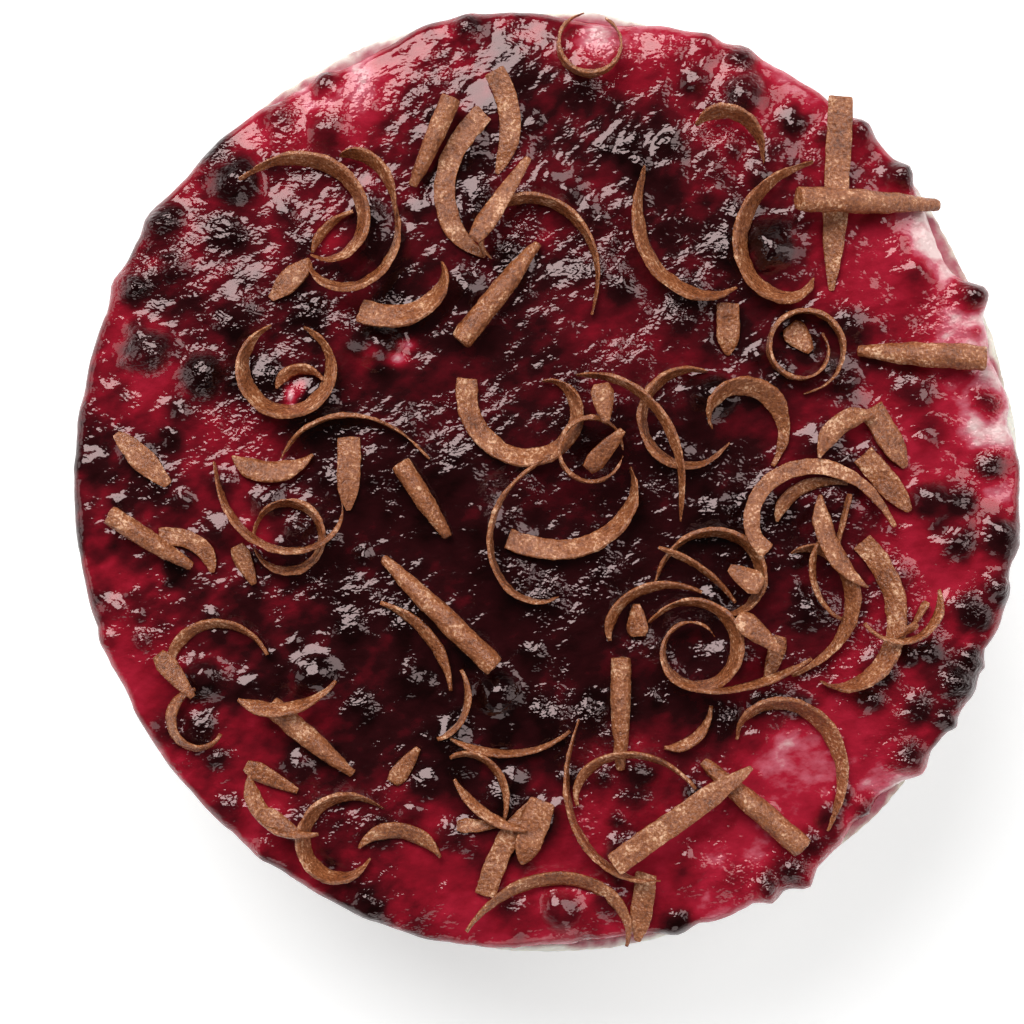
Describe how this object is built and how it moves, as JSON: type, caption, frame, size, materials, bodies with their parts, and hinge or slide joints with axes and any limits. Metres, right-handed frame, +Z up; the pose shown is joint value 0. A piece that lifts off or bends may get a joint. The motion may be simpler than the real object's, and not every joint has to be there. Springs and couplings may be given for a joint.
{
  "type": "chocolate layer cake",
  "caption": "Whole round chocolate layer cake with cream fillings, a dark berry glaze and milk chocolate curls.",
  "frame": {"origin": "middle of the cake's outline seen from above, at the level it rests on", "axes": "+Z up; +Y towards the top edge and +X towards the right edge of the picture"},
  "size_m": [0.221, 0.2208, 0.1023],
  "materials": {
    "sponge": "dark, open, crumbly",
    "cream": "soft, slightly porous",
    "berry": "wet, glossy, lumpy",
    "chocolate": "satin, finely grained"
  },
  "bodies": {
    "root": {"sponge_bottom": "sponge", "cream_lower": "cream", "sponge_middle": "sponge", "cream_upper": "cream", "sponge_top": "sponge", "cream_top": "cream", "berry_glaze": "berry", "chocolate_chip_01": "chocolate", "chocolate_chip_02": "chocolate", "chocolate_hoop_01": "chocolate", "chocolate_hoop_02": "chocolate", "chocolate_hoop_03": "chocolate", "chocolate_hoop_04": "chocolate", "chocolate_hoop_05": "chocolate", "chocolate_hoop_06": "chocolate", "chocolate_hoop_07": "chocolate", "chocolate_hoop_08": "chocolate", "chocolate_hoop_09": "chocolate", "chocolate_hoop_10": "chocolate", "chocolate_hoop_11": "chocolate", "chocolate_hoop_12": "chocolate", "chocolate_hoop_13": "chocolate", "chocolate_hoop_14": "chocolate", "chocolate_hoop_15": "chocolate", "chocolate_hoop_16": "chocolate", "chocolate_hoop_17": "chocolate", "chocolate_hoop_18": "chocolate", "chocolate_hoop_19": "chocolate", "chocolate_hoop_20": "chocolate", "chocolate_hoop_21": "chocolate", "chocolate_hoop_22": "chocolate", "chocolate_hoop_23": "chocolate", "chocolate_roll_01": "chocolate", "chocolate_roll_02": "chocolate", "chocolate_roll_03": "chocolate", "chocolate_roll_04": "chocolate", "chocolate_roll_05": "chocolate", "chocolate_roll_06": "chocolate", "chocolate_roll_07": "chocolate", "chocolate_roll_08": "chocolate", "chocolate_roll_09": "chocolate", "chocolate_roll_10": "chocolate", "chocolate_strip_01": "chocolate", "chocolate_strip_02": "chocolate", "chocolate_strip_03": "chocolate", "chocolate_strip_04": "chocolate", "chocolate_strip_05": "chocolate", "chocolate_strip_06": "chocolate", "chocolate_strip_07": "chocolate", "chocolate_strip_08": "chocolate", "chocolate_strip_09": "chocolate", "chocolate_strip_10": "chocolate", "chocolate_strip_11": "chocolate", "chocolate_strip_12": "chocolate", "chocolate_strip_13": "chocolate", "chocolate_strip_14": "chocolate", "chocolate_strip_15": "chocolate", "chocolate_strip_16": "chocolate", "chocolate_strip_17": "chocolate", "chocolate_strip_18": "chocolate"}
  },
  "joints": []
}
